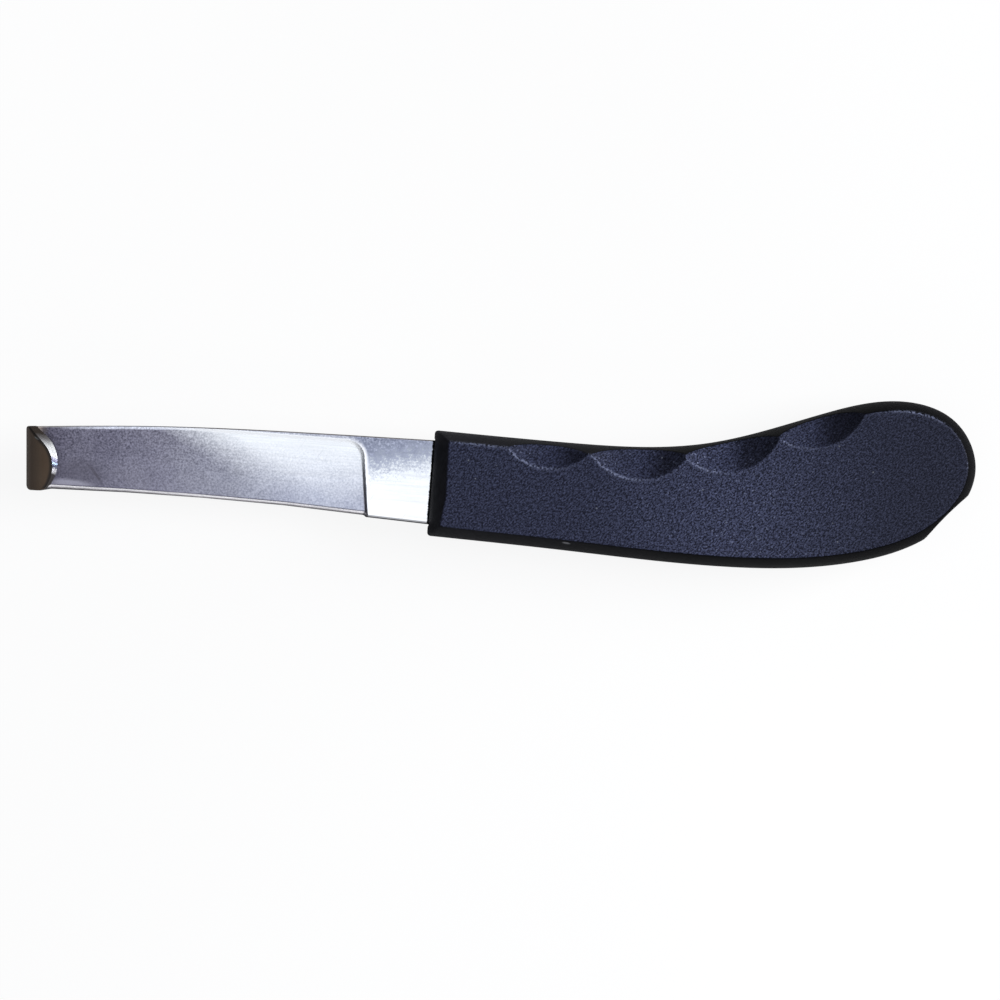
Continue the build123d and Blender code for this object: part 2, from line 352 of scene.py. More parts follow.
def handle_profile(place, way, in_mouth, balls, notch):
    """One section of a half, from the seam up its side and over on to the face, and where its creases are."""
    trial = np.linspace(0, NOTCH_REACH, NOTCH_SAMPLES)
    centre, radius = notch
    in_notch = np.linalg.norm(place + trial[:, None] * way - centre, axis=1) < radius
    notch_share = trial[in_notch].max() if in_notch.any() else 0.0
    base = POCKET_HEIGHT if in_mouth else 0.0
    side_z = np.linspace(base + SEAM_BREAK, HALF, SIDE_SAMPLES)
    face_share = np.linspace(1, FACE_REACH, FACE_SAMPLES + 1)[1:]
    z = np.concatenate([[base], side_z, np.full(FACE_SAMPLES, HALF)])
    share = np.concatenate([[0], (side_z / HALF) ** 2, face_share])
    share = np.maximum(share, notch_share)
    share[0] = share[1] + SEAM_BREAK / SIDE_INSET
    plan = place + share[:, None] * way
    body = np.column_stack([plan, z])
    gap = ball_floor(plan, balls) - z
    bitten = np.flatnonzero(gap < 0)
    if not len(bitten):
        corner = lengths_along(body)[SIDE_SAMPLES]
        return body, corner, corner
    first, last = bitten[0], bitten[-1]

    def crossing(i):
        part = gap[i] / (gap[i] - gap[i + 1])
        return share[i] + (share[i + 1] - share[i]) * part

    floor_share = np.linspace(crossing(first - 1), crossing(last), SCALLOP_SAMPLES)
    floor_plan = place + floor_share[:, None] * way
    floor = np.column_stack([floor_plan, ball_floor(floor_plan, balls)])
    path = np.concatenate([body[:first], floor, body[last + 1:]])
    lengths = lengths_along(path)
    return path, lengths[first], lengths[first + len(floor) - 1]


def crease_rows(first, second):
    """Distances of the rows that round both creases and cross the scallop between them."""
    t = np.arange(CREASE_ROWS + 1) / CREASE_ROWS
    rounded_length = 2 * CREASE_RADIUS + min(second - first, 2 * CREASE_RADIUS)
    rounded = np.interp(t, (0, 0.3, 0.7, 1), (0, 0.35, 0.65, 1))
    crossed_length = second - first + 2 * CREASE_RADIUS - rounded_length
    crossed = smooth_step(t, 0.2, 0.8)
    return first - CREASE_RADIUS + rounded_length * rounded + crossed_length * crossed


def softened(path, distances):
    """Places along the path, averaged over a crease radius each way, so its corners are round."""
    reach = np.minimum(CREASE_RADIUS, distances)[:, None]
    spread = np.linspace(-1, 1, CREASE_SAMPLES)[None, :]
    return along(path, distances[:, None] + reach * spread).mean(axis=1)


def handle_grid():
    """Every station's section of the upper half, how textured its points are, how far they carry the rubbed
    edge's wear and painted highlight, and which stations are in the mouth."""
    plan, ways, in_mouth = handle_stations()
    balls, notch = scallop_balls(), notch_disc()
    grid, texture, wear_and_highlight = [], [], []
    for place, way, mouth in zip(plan, ways, in_mouth):
        path, first, second = handle_profile(place, way, mouth, balls, notch)
        seam = lengths_along(path)[1]
        side_rows = np.linspace(seam, first - CREASE_RADIUS, SIDE_ROWS + 2)[1:-1]
        face_rows = second + CREASE_RADIUS + np.array(FACE_ROWS)
        rows = np.concatenate([[0, seam], side_rows, crease_rows(first, second), face_rows])
        section = softened(path, rows)
        section[0] = path[0]
        grid.append(section)
        texture.append(smooth_step(rows, first - TEXTURE_BORDER, first + TEXTURE_BORDER))
        # The rubbed border carries a painted highlight, kept to the spine side, where the light falls on it
        on_spine_side = np.clip(-way[1] / SIDE_INSET, 0, 1) ** WEAR_AND_HIGHLIGHT_FALL
        wear_and_highlight.append(smooth_step(abs(rows - second), WEAR_AND_HIGHLIGHT_WIDTH, 0) * on_spine_side)
    return np.array(grid), np.array(texture), np.array(wear_and_highlight), in_mouth


def handle_pocket(shell, rings, in_mouth, side):
    """The half's flat seam, the pocket sunk into it for the tang, and the blind sockets for the pins."""
    mouth = [ring[0] for ring, inside in zip(rings, in_mouth) if inside]
    last = np.flatnonzero(in_mouth)[-1]
    seam = [rings[(last + 1 + i) % len(rings)][0] for i in range(len(rings) - len(mouth))]
    half_plan = [(MOUTH_DEPTH, MOUTH_HALF_WIDTH), (MOUTH_DEPTH, POCKET_HALF_WIDTH),
                 (POCKET_LENGTH, POCKET_HALF_WIDTH)]
    corners = np.array([(x, -y) for x, y in half_plan] + half_plan[::-1])
    bottom = shell.ring(np.column_stack([corners, np.zeros(len(corners))]))
    top = shell.ring(np.column_stack([corners, np.full(len(corners), POCKET_HEIGHT * side)]))
    shell.fill(seam + bottom)
    shell.skin([seam[-1]] + bottom + [seam[0]], [mouth[0]] + top + [mouth[-1]])
    sockets = [shell.circle(x, SOCKET_RADIUS, POCKET_HEIGHT * side) for x in PIN_PLACES]
    shell.fill(mouth + top[::-1], sockets)
    for x, socket in zip(PIN_PLACES, sockets):
        blind_end = shell.circle(x, SOCKET_RADIUS, SOCKET_HEIGHT * side)
        shell.skin(socket, blind_end, closed=True)
        shell.fill(blind_end)


def handle_half(name, side, material):
    """A handle half: the hook side is +1 and the side it rests on is -1."""
    grid, texture, wear_and_highlight, in_mouth = handle_grid()
    shell = Shell()
    # The worn mark carries both the rubbed edges and their painted highlight
    textured, rub_and_highlight = (shell.bm.verts.layers.float.new(mark) for mark in ("textured", "wear_and_highlight"))
    rings = [shell.ring(section * (1, 1, side)) for section in grid]
    for ring, *values in zip(rings, texture, wear_and_highlight):
        for vertex, grained, edge in zip(ring, *values):
            vertex[textured] = grained
            vertex[rub_and_highlight] = edge
    for a, b in zip(rings, rings[1:] + rings[:1]):
        shell.skin(a, b)
    shell.fill([ring[-1] for ring in rings])
    handle_pocket(shell, rings, in_mouth, side)
    return shell.piece(name, material)


def to_strip(points):
    """Knife-frame plan points in the blade strip's own skewed frame."""
    x, y = np.asarray(points, float).T
    return np.stack([x * cos(HOOK_SKEW) + y * sin(HOOK_SKEW), y * cos(HOOK_SKEW) - x * sin(HOOK_SKEW)], 1)


def from_strip(x, y):
    """Strip-frame plan coordinates in the knife frame."""
    return x * cos(HOOK_SKEW) - y * sin(HOOK_SKEW), x * sin(HOOK_SKEW) + y * cos(HOOK_SKEW)


class Strip:
    """The blade as a bent strip: u runs along its middle, from the bow's start to the hook and round it."""

    def __init__(self):
        middle_radius = HOOK_RADIUS - TIP_STOCK / 2
        bow_reach = BOW_START - HOOK_TIP - HOOK_RADIUS
        self.bow_length = BOW_RADIUS * asin(bow_reach / (BOW_RADIUS - middle_radius))
        self.curl_length = pi * middle_radius
        end = self.bow_length + self.curl_length + STRIP_OVERRUN
        self.u = np.linspace(BOW_START - STRIP_START, end, STRIP_SAMPLES)
        bow = np.clip(self.u, 0, self.bow_length) / BOW_RADIUS
        curl = np.clip((self.u - self.bow_length) / middle_radius, 0, pi)
        self.lean = bow + curl
        step = self.u[1] - self.u[0]
        ahead, rise = np.cos(self.lean) * step, np.sin(self.lean) * step
        self.x = STRIP_START - (np.cumsum(ahead) - (ahead + ahead[0]) / 2)
        self.z = np.cumsum(rise) - (rise + rise[0]) / 2
        self.spine = to_strip(natural_spline(BLADE_SPINE, SPINE_SAMPLES))[::-1]
        self.edge = to_strip(BLADE_EDGE)[::-1]

    def place(self, u, offset):
        """Strip-frame x and z at u, the offset from the strip's middle towards the hook side."""
        lean = np.interp(u, self.u, self.lean)
        x = np.interp(u, self.u, self.x) + offset * np.sin(lean)
        z = np.interp(u, self.u, self.z) + offset * np.cos(lean)
        return x, z

    def stock(self, u):
        """The strip's thickness before grinding."""
        return np.interp(u, [0, self.bow_length], [STOCK, TIP_STOCK])

    def borders(self, x):
        """The strip-frame y of the cutting edge and of the spine, rounded off at the hook's corners."""

        def rounding(radius):
            past = np.clip(HOOK_OUTERMOST + radius - x, 0, radius)
            return radius - np.sqrt(radius ** 2 - past ** 2)

        low = np.interp(x, self.edge[:, 0], self.edge[:, 1]) + rounding(HOOK_FOOT_CORNER)
        high = np.interp(x, self.spine[:, 0], self.spine[:, 1]) - rounding(HOOK_SPINE_CORNER)
        return low, high


def hollow_depth(strip, u, x, y):
    """How far the hollow grind goes below the stock's surface at a plan place in the knife frame."""
    line = (PLUNGE_HEAD - PLUNGE_FOOT) / np.linalg.norm(PLUNGE_HEAD - PLUNGE_FOOT)
    past_plunge = -(x - PLUNGE_FOOT[0]) * line[1] + (y - PLUNGE_FOOT[1]) * line[0]
    below_top = PLUNGE_HEAD[1] - y
    a, b = PLUNGE_CORNER - past_plunge, PLUNGE_CORNER - below_top
    inside = np.where((a > 0) & (b > 0), PLUNGE_CORNER - np.hypot(a, b), np.minimum(past_plunge, below_top))
    across = np.clip(y - HOLLOW_CENTRE, -HOLLOW_RADIUS, HOLLOW_RADIUS)
    wheel = HOLLOW_DEPTH - HOLLOW_RADIUS + np.sqrt(HOLLOW_RADIUS ** 2 - across ** 2)
    near_hook = tuple((strip.bow_length + past, left) for past, left in FADE_PAST_HOOK_START)
    fade = np.interp(u, *zip(*FADE_PAST_BOW_START + near_hook))
    return np.maximum(wheel, 0) * fade * smooth_step(inside, 0, PLUNGE_WALL), inside


def bevel_drop(above_edge, inside):
    """How far the cutting bevel goes below the hollow."""
    return np.maximum(BEVEL_WIDTH - above_edge, 0) * BEVEL_SLOPE * smooth_step(inside, 0, 2 * PLUNGE_WALL)


def across_strip():
    """Shares of the way across the blade where the rows of its mesh run, close together near both borders."""
    near_edge = np.arange(0, EDGE_BAND, EDGE_STEP)
    near_spine = MESH_WIDTH - np.arange(0, SPINE_BAND, SPINE_STEP)[::-1]
    between = np.linspace(near_edge[-1], near_spine[0], ROWS_BETWEEN + 2)[1:-1]
    return np.concatenate([near_edge, between, near_spine]) / MESH_WIDTH


def along_strip(strip):
    """Shares of the way along the blade where its sections lie, closest at the plunge and round the hook."""
    end = strip.bow_length + strip.curl_length + LIP_OVERRUN
    bands = (BOW_START - STRIP_START, *PLUNGE_BAND, strip.bow_length + HOOK_BAND_START, end)
    u = [np.arange(a, b, step) for a, b, step in zip(bands, bands[1:], SECTION_STEPS)]
    u = np.append(np.concatenate(u), end)
    return (u - u[0]) / (u[-1] - u[0])


def section_loop():
    """Once round a section, over the hook side, the spine's rim, the back and the edge's rim: the share of
    the way across, 1 on the hook side, how far the rim has turned, and which rim it is (1 the spine's, -1 the
    edge's, 0 neither)."""
    shares = across_strip()
    count = len(shares)
    level, hook_side, neither = np.zeros(count), np.ones(count), np.zeros(count)
    quarter = np.linspace(0, pi / 2, QUARTER_POINTS + 1)[1:]
    rim = np.concatenate([quarter, quarter[::-1]])
    half = np.ones(QUARTER_POINTS)
    share = np.concatenate([shares, np.ones(RIM_POINTS), shares[::-1], np.zeros(RIM_POINTS)])
    top = np.concatenate([hook_side, half, 0 * half, 0 * hook_side, 0 * half, half])
    turn = np.concatenate([level, rim, level, rim])
    which_rim = np.concatenate([neither, np.ones(RIM_POINTS), neither, -np.ones(RIM_POINTS)])
    return share, top, turn, which_rim


def blade_points(strip, u):
    """Knife-frame points of the blade's mesh for an array of u, with a row for each section and a column for
    each place round it, and how far each is inside the hollow, above the edge and below the spine."""
    share, top, turn, which_rim = section_loop()
    count = len(across_strip())
    stock = strip.stock(u)
    x, _ = strip.place(u, (top - 0.5) * stock)
    low, high = strip.borders(x)
    plain_y = low + share * (high - low)
    knife_x, knife_y = from_strip(x, plain_y)
    depth, inside = hollow_depth(strip, u, knife_x, knife_y)
    depth += bevel_drop(plain_y - low, inside)
    radius = np.minimum(EDGE_ROUND, ROUND_LIMIT * (stock - depth))
    spine_radius = radius[:, count:count + 1]
    edge_radius = radius[:, -1:]
    rim = np.where(which_rim > 0, spine_radius, edge_radius) * abs(which_rim)
    drop = rim * (1 - np.cos(turn))
    x, z = strip.place(u, np.where(top > 0.5, stock / 2 - depth - drop, drop - stock / 2))
    low, high = strip.borders(x)
    y = low + edge_radius + share * (high - low - edge_radius - spine_radius)
    y += which_rim * rim * np.sin(turn)
    knife_x, knife_y = from_strip(x, y)
    return np.stack([knife_x, knife_y, z], -1), inside, plain_y - low, high - plain_y


def lip_reach(strip, count_loop):
    """For each place round the section, the u where it meets the ground lip of the hook."""
    start = strip.bow_length + strip.curl_length / 2
    trial = np.linspace(start, strip.u[-1] - 0.1, LIP_SAMPLES)
    points = blade_points(strip, np.repeat(trial[:, None], count_loop, axis=1))[0]
    x, y = points[..., 0], points[..., 1]
    plan = to_strip(np.stack([x.ravel(), y.ravel()], 1)).reshape(*x.shape, 2)
    height = np.clip((points[..., 2] - LIP_FOOT[2]) / (LIP_TOP[2] - LIP_FOOT[2]), *LIP_SHARES)
    cx, cy, radius = (LIP_FOOT[i] + height * (LIP_TOP[i] - LIP_FOOT[i]) for i in (0, 1, 3))
    outside = np.hypot(plan[..., 0] - cx, plan[..., 1] - cy) > radius
    return trial[np.argmax(outside, axis=0)]


def blade_marks(strip, u, reach, inside, above_edge, below_spine):
    """What each vertex tells the steel's material about its place, one array for each mark."""
    count = len(across_strip())
    place = np.arange(u.shape[1])
    on_top = place < count
    on_spine_rim = (place >= count) & (place < count + RIM_POINTS)
    on_edge_rim = place >= 2 * count + RIM_POINTS
    on_back = ~(on_top | on_spine_rim | on_edge_rim)
    return {"ground": smooth_step(inside, 0, GROUND_BORDER) * on_top,
            "inside": inside * on_top,
            "above": np.where(on_top | on_edge_rim, above_edge, FAR_AWAY),
            "below": np.where(on_top | on_spine_rim, below_spine, FAR_AWAY),
            "curl": (u - strip.bow_length) / strip.curl_length,
            "rim": np.zeros(u.shape) + (on_spine_rim | on_edge_rim),
            "brink": smooth_step(reach - u, *BRINK[::-1]) * on_back}


def blade_lip(shell, ring, count):
    """The ground lip that closes the hook's end, in the second material."""
    body_faces = len(shell.bm.faces)
    edge_rim = 2 * count + RIM_POINTS
    shell.skin(ring[:count], ring[count + RIM_POINTS:edge_rim][::-1])
    shell.fill(ring[count - 1:count + RIM_POINTS + 1])
    shell.fill([ring[0]] + ring[:edge_rim - 1:-1] + [ring[edge_rim - 1]])
    for face in list(shell.bm.faces)[body_faces:]:
        face.material_index = 1


def blade_tang(shell, ring, count):
    """The flat tang that runs on from the ricasso's first section, with a round end and three pin holes."""
    edge_rim = 2 * count + RIM_POINTS
    top, back = ring[:count], ring[count + RIM_POINTS:edge_rim][::-1]
    heights = np.array([vertex.co.y for vertex in top]) / MM
    low, high = abs(heights + TANG_HALF_WIDTH).argmin(), abs(heights - TANG_HALF_WIDTH).argmin()
    turns = np.linspace(pi / 2, -pi / 2, TANG_END_POINTS)
    end_middle = TANG_LENGTH - TANG_HALF_WIDTH
    plan = np.stack([end_middle + TANG_HALF_WIDTH * np.cos(turns), TANG_HALF_WIDTH * np.sin(turns)], 1)
    sides = []
    for z, row in ((STOCK / 2, top), (-STOCK / 2, back)):
        tail = shell.ring(np.column_stack([plan, np.full(len(plan), z)]))
        holes = [shell.circle(x, TANG_HOLE_RADIUS, z) for x in PIN_PLACES]
        shell.fill(row[low:high + 1] + tail, holes)
        sides.append((tail, holes))
    (tail, holes), (back_tail, back_holes) = sides
    shell.skin([top[high]] + tail + [top[low]], [back[high]] + back_tail + [back[low]])
    for hole, back_hole in zip(holes, back_holes):
        shell.skin(hole, back_hole, closed=True)
    shell.fill(ring[high:edge_rim - high])
    shell.fill(ring[edge_rim - 1 - low:] + ring[:low + 1])


def blade(material, lip_material):
    """The blade: ricasso, hollow-ground and bowed blade, hook with its ground lip, and tang."""
    strip = Strip()
    count = len(across_strip())
    reach = lip_reach(strip, 2 * (count + RIM_POINTS))
    u = strip.u[0] + along_strip(strip)[:, None] * (reach[None, :] - strip.u[0])
    points, *measures = blade_points(strip, u)
    marks = blade_marks(strip, u, reach, *measures)
    shell = Shell()
    layers = [shell.bm.verts.layers.float.new(name) for name in marks]
    rings = [shell.ring(section) for section in points]
    for layer, values in zip(layers, marks.values()):
        for ring, row in zip(rings, values):
            for vertex, value in zip(ring, row):
                vertex[layer] = value
    for a, b in zip(rings, rings[1:]):
        shell.skin(a, b, closed=True)
    blade_lip(shell, rings[-1], count)
    blade_tang(shell, rings[0], count)
    piece = shell.piece("blade_steel", material, crease_angle=25)
    piece.data.materials.append(lip_material)
    return piece


class Paint:
    """A node material with small helpers for its procedural parts."""

    def __init__(self, name):
        self.material = bpy.data.materials.new(name)
        self.material.use_nodes = True
        self.nodes = self.material.node_tree.nodes
        self.links = self.material.node_tree.links
        self.shader = self.nodes["Principled BSDF"]
        self.place = self.nodes.new("ShaderNodeTexCoord").outputs["Object"]

    def put(self, socket, value):
        if isinstance(value, bpy.types.NodeSocket):
            self.links.new(value, socket)
        else:
            socket.default_value = value

    def set(self, **values):
        for name, value in values.items():
            self.put(self.shader.inputs[name.replace("_", " ")], value)

    def stretched(self, scale, turn=0.0):
        """The object's coordinates, turned about z and then scaled along each axis."""
        node = self.nodes.new("ShaderNodeMapping")
        node.vector_type = "TEXTURE"
        self.links.new(self.place, node.inputs["Vector"])
        node.inputs["Rotation"].default_value = (0, 0, turn)
        node.inputs["Scale"].default_value = [1 / s for s in scale]
        return node.outputs["Vector"]

    def noise(self, scale, detail=2.0, rough=0.5, vector=None):
        node = self.nodes.new("ShaderNodeTexNoise")
        self.links.new(vector or self.place, node.inputs["Vector"])
        node.inputs["Scale"].default_value = scale
        node.inputs["Detail"].default_value = detail
        node.inputs["Roughness"].default_value = rough
        return node.outputs["Fac"]

    def cells(self, scale):
        """How far it is to the middle of the nearest of many random cells."""
        node = self.nodes.new("ShaderNodeTexVoronoi")
        self.links.new(self.place, node.inputs["Vector"])
        node.inputs["Scale"].default_value = scale
        return node.outputs["Distance"]

    def mark(self, name):
        """A value that the mesh carries on its vertices."""
        node = self.nodes.new("ShaderNodeAttribute")
        node.attribute_name = name
        return node.outputs["Fac"]

    def distance(self, place):
        """How far the object's coordinates are from a place."""
        node = self.nodes.new("ShaderNodeVectorMath")
        node.operation = "DISTANCE"
        self.links.new(self.place, node.inputs[0])
        node.inputs[1].default_value = place
        return node.outputs["Value"]

    def blot(self, place, size, turn=0.0):
        """1 inside a soft-edged ellipsoid at this place, 0 outside it."""
        node = self.nodes.new("ShaderNodeMapping")
        node.vector_type = "TEXTURE"
        self.links.new(self.place, node.inputs["Vector"])
        node.inputs["Location"].default_value = place
        node.inputs["Rotation"].default_value = (0, 0, turn)
        node.inputs["Scale"].default_value = size
        length = self.nodes.new("ShaderNodeVectorMath")
        length.operation = "LENGTH"
        self.links.new(node.outputs["Vector"], length.inputs[0])
        return self.between(length.outputs["Value"], 1.0, 0.5)

    def math(self, kind, a, b):
        node = self.nodes.new("ShaderNodeMath")
        node.operation = kind
        self.put(node.inputs[0], a)
        self.put(node.inputs[1], b)
        return node.outputs[0]

    def plus(self, a, b):
        return self.math("ADD", a, b)

    def times(self, product, *others):
        """The product of all the values."""
        for other in others:
            product = self.math("MULTIPLY", product, other)
        return product

    def between(self, value, low, high, to_low=0.0, to_high=1.0):
        """The value carried from low..high to to_low..to_high, held at the ends."""
        node = self.nodes.new("ShaderNodeMapRange")
        for socket, v in zip(node.inputs[:5], (value, low, high, to_low, to_high)):
            self.put(socket, v)
        return node.outputs["Result"]

    def blend(self, share, a, b, kind="MIX"):
        node = self.nodes.new("ShaderNodeMix")
        node.data_type = "RGBA"
        node.blend_type = kind
        self.put(node.inputs["Factor"], share)
        for socket, v in ((node.inputs[6], a), (node.inputs[7], b)):
            self.put(socket, v if isinstance(v, bpy.types.NodeSocket) else (*v, 1.0))
        return node.outputs[2]

    def ramp(self, value, *stops):
        """Colours along the value, one at each stop."""
        node = self.nodes.new("ShaderNodeValToRGB")
        self.put(node.inputs["Fac"], value)
        points = node.color_ramp.elements
        while len(points) < len(stops):
            points.new(0.5)
        for point, (place, colour) in zip(points, stops):
            point.position = place
            point.color = (*colour, 1)
        return node.outputs["Color"]

    def bump(self, height, distance, strength=1.0):
        node = self.nodes.new("ShaderNodeBump")
        node.inputs["Distance"].default_value = distance
        self.put(node.inputs["Strength"], strength)
        self.links.new(height, node.inputs["Height"])
        self.links.new(node.outputs["Normal"], self.shader.inputs["Normal"])

    def axis(self, which, vector=None):
        """One coordinate of the vector, or else of the object's coordinates."""
        node = self.nodes.new("ShaderNodeSeparateXYZ")
        self.links.new(vector or self.place, node.inputs["Vector"])
        return node.outputs[which]

    def facing(self, which):
        """How squarely the surface faces along an axis, from -1 to 1."""
        return self.axis(which, self.nodes.new("ShaderNodeNewGeometry").outputs["True Normal"])


def plastic():
    """Black plastic: spark-eroded grain on the faces and scallops, a smooth side band painted lighter at the
    front end and darker towards the butt, as light and shade, and rubbed edges with a painted highlight
    where they face the light.
    """
    p = Paint("handle_plastic")
    textured, wear_and_highlight, x, facing = p.mark("textured"), p.mark("wear_and_highlight"), p.axis(0), p.facing(0)
    handled = p.between(p.distance(HANDLED_MIDDLE), 0.01, 0.034, 1, 0)
    grain = p.noise(2700, 1.5, 0.5)
    hatch = p.noise(1, 1.5, 0.5, p.stretched((1300, 3900, 2300), radians(48)))
    pits = p.plus(p.times(grain, 0.55), p.times(hatch, 0.45))
    catch = p.between(pits, 0.42, 0.66)
    face = plastic_face(p, x, facing, handled, catch)
    # The side band is painted lighter at the front end and darker towards the butt, standing in for light and
    # shade
    side = p.blend(p.between(x, -0.058, 0.0), (0.015, 0.015, 0.019), (0.0028, 0.0028, 0.0038))
    side = p.blend(p.between(p.noise(500, 3), 0.3, 0.7, 0, 0.4), side, (0.002, 0.002, 0.002))
    # A painted highlight on the side band
    side = p.blend(p.blot(*BOTTOM_BAND_HIGHLIGHT), side, (0.2, 0.2, 0.21))
    broken = p.between(p.noise(2000, 2, 0.6), 0.44, 0.6)
    # The rubbed edges get a painted highlight, only where they face the butt, towards the light
    rub_and_highlight = p.times(wear_and_highlight, broken, p.between(facing, -0.12, 0.05), 0.75)
    p.set(Base_Color=p.blend(rub_and_highlight, p.blend(textured, side, face), (0.2, 0.225, 0.34)))
    p.set(Roughness=p.between(textured, 0, 1, 0.45, p.between(catch, 0, 1, 0.62, 0.48)))
    side_sheen = p.between(x, 0.02, 0.05, 0.04, 0.015)
    face_sheen = p.between(catch, 0, 1, 0.05, 0.16)
    p.set(Specular_IOR_Level=p.between(textured, 0, 1, side_sheen, face_sheen))
    p.bump(pits, 0.00009, p.between(textured, 0, 1, 0.1, 1.0))
    return p.material


def plastic_face(p, x, facing, handled, catch):
    """The grained plastic's colour, its blue a painted reflection of the bluish light: bluest where it is
    handled, dull by the butt, painted shade on the flanks that face the blade, and painted highlight specks
    on the flanks that face the butt and where it is handled."""
    # The grain's blue tint is a painted reflection of bluish light on black plastic
    polished = p.blend(handled, (0.047, 0.055, 0.107), (0.078, 0.09, 0.17))
    grained = p.blend(catch, (0.0085, 0.0095, 0.0185), polished)
    face = p.blend(p.between(x, 0.005, 0.05, 0, 0.5), grained, (0.0065, 0.007, 0.012))
    # Painted shade on the flanks that face the blade, away from the light
    face = p.blend(p.between(facing, -0.08, -0.3, 0, 0.62), face, (0.004, 0.004, 0.007))
    # Bright specks as painted highlights, strongest on the flanks that face the butt, towards the light
    specks = p.between(p.cells(1000), 0.26, 0.14)
    lit = p.plus(p.times(handled, 0.45), p.times(p.between(facing, 0.02, 0.3), 0.7))
    face = p.blend(p.times(specks, lit, catch), face, (0.24, 0.27, 0.39))
    rare_specks = p.between(p.cells(240), 0.06, 0.03)
    return p.blend(p.times(rare_specks, 0.35), face, (0.28, 0.3, 0.34))


def steel():
    """Satin steel with painted reflections: darker towards the hook, bright by the handle, with a brown
    heat tint on the hook.
    """
    p = Paint("blade_steel")
    ground, inside, curl, x, y = p.mark("ground"), p.mark("inside"), p.mark("curl"), p.axis(0), p.axis(1)
    across = p.between(y, -0.0085, 0.0085)
    sand = p.noise(2300, 2.5, 0.65)
    cloud = p.noise(110, 3, 0.6)
    brushed = p.noise(1, 3, 0.6, p.stretched((90, 2400, 2400)))
    grain = p.between(sand, 0.32, 0.68)

    metal = p.blend(ground, ricasso_tone(p, x, y, across, sand, inside), hollow_tone(p, x, y))
    speckled = p.blend(grain, (0.05, 0.05, 0.05), (0.95, 0.95, 0.95))
    metal = p.blend(p.between(across, 0.3, 1, 0.5, 0.85), metal, speckled, "SOFT_LIGHT")
    metal = p.blend(p.between(cloud, 0.35, 0.7, 0, 0.5), metal, (0.3, 0.3, 0.34), "SOFT_LIGHT")
    metal = with_marks(p, metal)
    # Painted shade on the plunge's wall, which faces away from the light
    wall = p.times(p.between(inside, 0.95, 0.6), p.between(inside, 0.02, 0.15))
    wall = p.times(wall, p.between(y, 0.005, -0.004, 0, 0.75))
    metal = p.blend(wall, metal, (0.15, 0.125, 0.13))
    # A painted highlight at the plunge's soft top corner
    soft = p.times(p.between(inside, 1.1, 0.7), ground, p.between(y, 0.001, 0.0055))
    metal = p.blend(soft, metal, (0.93, 0.95, 0.97))
    metal = with_borders(p, metal, ground, x, y, grain)

    corner = p.times(p.between(x, -0.1445, -0.1475), p.between(y, 0.003, 0.005))
    tint = p.math("MAXIMUM", p.between(curl, 0.12, 0.3), corner)
    metal = p.blend(tint, metal, heat_brown(p, curl, cloud))
    # Painted shade, black, in the gap where the blade goes into the handle
    mouth_shade = p.between(p.plus(x, p.times(sand, 0.0006)), -0.06, -0.0599)
    p.set(Base_Color=p.blend(mouth_shade, metal, (0.002, 0.002, 0.002)))
    p.set(Metallic=p.between(p.math("MAXIMUM", tint, soft), 0, 1, 1, 0.1), Specular_IOR_Level=0.2)
    p.set(Roughness=p.between(tint, 0, 1, p.between(brushed, 0.3, 0.7, 0.28, 0.4), 0.6))
    p.bump(p.plus(sand, brushed), 0.000012, 0.6)
    return p.material


def hollow_tone(p, x, y):
    """The hollow as a painted reflection: dark by the hook, paler by the plunge, with a bright slanting
    sweep, a painted highlight, at its spine side.
    """
    # The hollow's tone along the blade is a painted reflection
    tone = p.ramp(p.between(x, -0.145, -0.075), (0.0, (0.115, 0.108, 0.14)), (0.35, (0.2, 0.195, 0.24)),
                  (0.6, (0.31, 0.315, 0.36)), (0.85, (0.45, 0.47, 0.54)))
    # A painted highlight sweeping slantwise over the hollow's spine side
    slant = p.plus(x, p.times(y, 1.8))
    sweep = p.times(p.between(slant, -0.108, -0.09), p.between(y, -0.006, 0.0065))
    return p.blend(sweep, tone, (0.96, 0.98, 0.98))


def ricasso_tone(p, x, y, across, sand, inside):
    """The unground steel as a painted reflection over its grain: bright at the edge side, grey at the spine
    side, with a painted highlight beside the hollow.
    """
    # The ricasso's tone across and along it is a painted reflection
    uneven = p.plus(p.between(x, -0.075, -0.06, 0.04, -0.12), p.times(p.noise(420, 3, 0.6), 0.25))
    uneven = p.plus(uneven, p.between(sand, 0.3, 0.7, -0.2, 0.2))
    tone = p.ramp(p.plus(across, uneven), (0.0, (0.95, 0.95, 0.93)), (0.62, (0.88, 0.9, 0.9)),
                  (0.85, (0.45, 0.48, 0.54)), (1.0, (0.28, 0.3, 0.37)))
    # A painted highlight along the plunge on the ricasso side
    border = p.times(p.between(inside, -0.9, -0.2), p.between(y, 0.0095, 0.006))
    return p.blend(border, tone, (0.97, 0.97, 0.97))


def with_marks(p, metal):
    """The metal with its slanting scratches, and the darker cone, the pale patch and the nick by the hook."""
    scratches = p.noise(1, 1, 0.5, p.stretched((110, 2600, 110), radians(57)))
    metal = p.blend(p.between(scratches, 0.68, 0.74, 0, 0.12), metal, (0.1, 0.1, 0.12))
    metal = p.blend(p.times(p.blot(*DARK_CONE), 0.4), metal, (0.075, 0.07, 0.09))
    metal = p.blend(p.times(p.blot(*PALE_PATCH), 0.5), metal, (0.4, 0.39, 0.45))
    return p.blend(p.times(p.blot(*NICK), 0.6), metal, (0.07, 0.065, 0.08))


